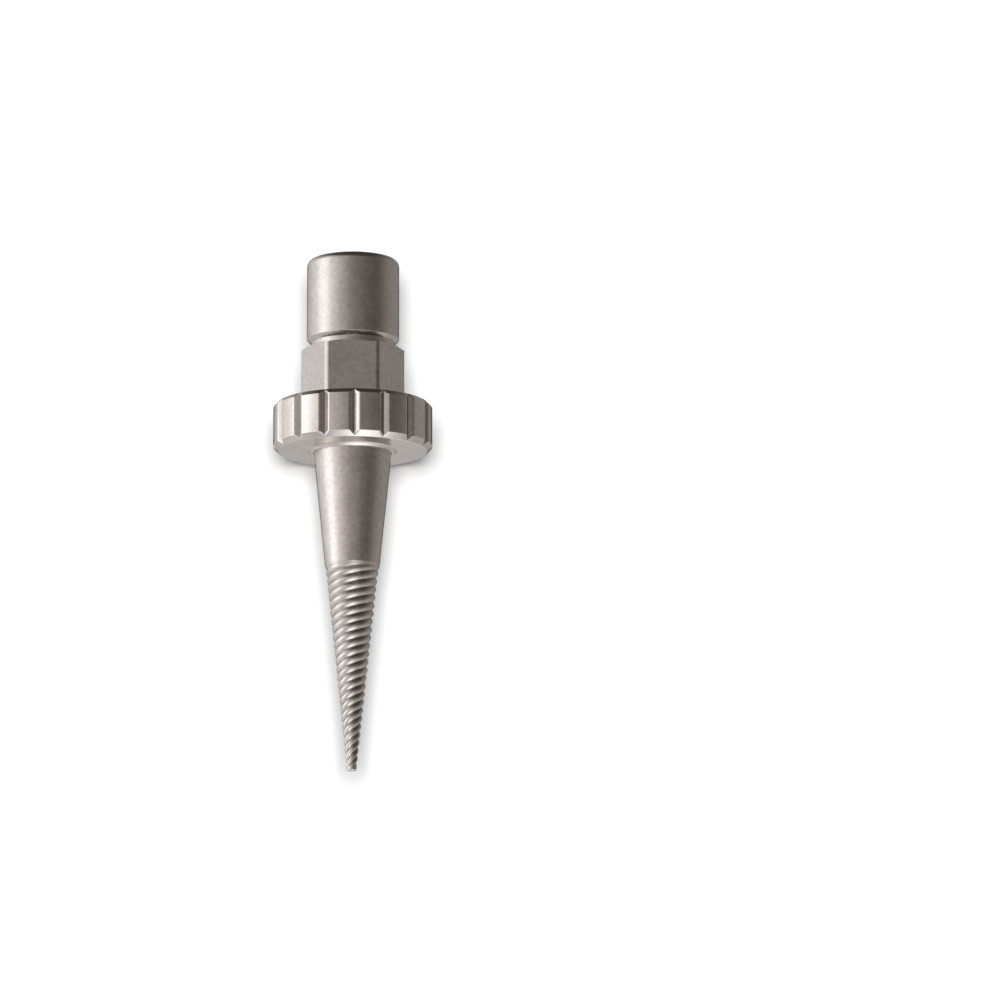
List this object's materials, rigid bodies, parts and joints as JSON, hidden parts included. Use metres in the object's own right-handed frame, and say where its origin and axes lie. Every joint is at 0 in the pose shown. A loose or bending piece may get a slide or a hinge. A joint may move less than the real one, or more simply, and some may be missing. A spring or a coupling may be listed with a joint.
{
  "type": "tapered polishing spindle",
  "caption": "Tapered polishing spindle with a motor-shaft socket, hexagon, castellated ejector nut and a long cone with a screw thread for wheels and brushes.",
  "frame": {"origin": "centre of the socket's mouth, on the spindle's axis", "axes": "+Y out of the socket's mouth, the tip along -Y; +Z out of the hexagon's front flat, with the grub screws on the -Z side"},
  "size_m": [0.0242, 0.0789, 0.0242],
  "materials": {
    "hub_steel": "satin nickel-grey, fine mottled grain",
    "spindle_steel": "satin nickel-grey, fine mottled grain",
    "nut_steel": "satin nickel-grey, brighter in the grooves",
    "push_ring_steel": "turned, brighter than the nut",
    "spring_steel": "oiled spring wire",
    "black_steel": "black oxide"
  },
  "bodies": {
    "spindle": {"socket_hub": "hub_steel", "taper_spindle": "spindle_steel", "shaft_screw_outer": "black_steel", "shaft_screw_inner": "black_steel", "shank_lock_screw": "black_steel"},
    "pusher": {"push_ring": "push_ring_steel"},
    "ejector": {"ejector_nut": "nut_steel", "swivel_wire": "spring_steel"}
  },
  "joints": [
    {"name": "push_travel", "type": "slide", "parent": "spindle", "child": "pusher", "axis": [0, -1, 0], "range_m": [0, 0.003]},
    {"name": "nut_turn", "type": "hinge", "parent": "pusher", "child": "ejector", "pos_m": [0, -0.0261, 0], "axis": [0, -1, 0], "range_deg": [0, 1080]}
  ],
  "couplings": [
    {"joint": "nut_turn", "follows": "push_travel", "rad_per_m": 6283.2}
  ]
}
